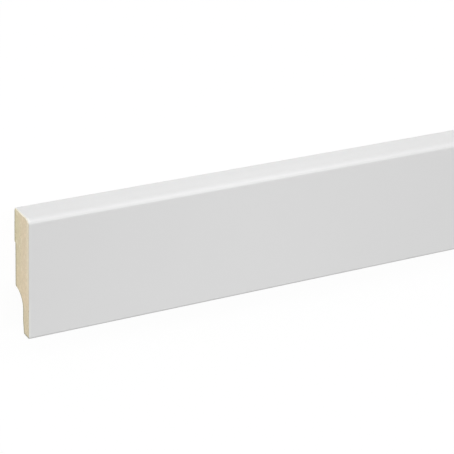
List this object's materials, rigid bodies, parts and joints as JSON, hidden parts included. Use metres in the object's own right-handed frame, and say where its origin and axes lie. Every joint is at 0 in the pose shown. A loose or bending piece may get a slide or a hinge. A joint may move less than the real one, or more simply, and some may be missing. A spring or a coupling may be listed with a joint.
{
  "type": "skirting board length",
  "caption": "Straight skirting board length: flat white wrapped face with a rounded top edge, bare fibreboard back with an adhesive bed and a cove for cables behind the foot.",
  "frame": {"origin": "middle of the underside: the board lies on its back, so the origin is in the wall plane, half way along and half way up the face", "axes": "+X along the board, +Y towards its rounded top edge, +Z out of its front face, away from the wall"},
  "size_m": [2.4, 0.058, 0.016],
  "materials": {
    "bare_fibreboard": "raw medium-density fibreboard, milled back and sawn ends",
    "white_covering": "satin white decorative foil"
  },
  "bodies": {
    "root": {"mdf_core": "bare_fibreboard", "white_wrap": "white_covering"}
  },
  "joints": []
}
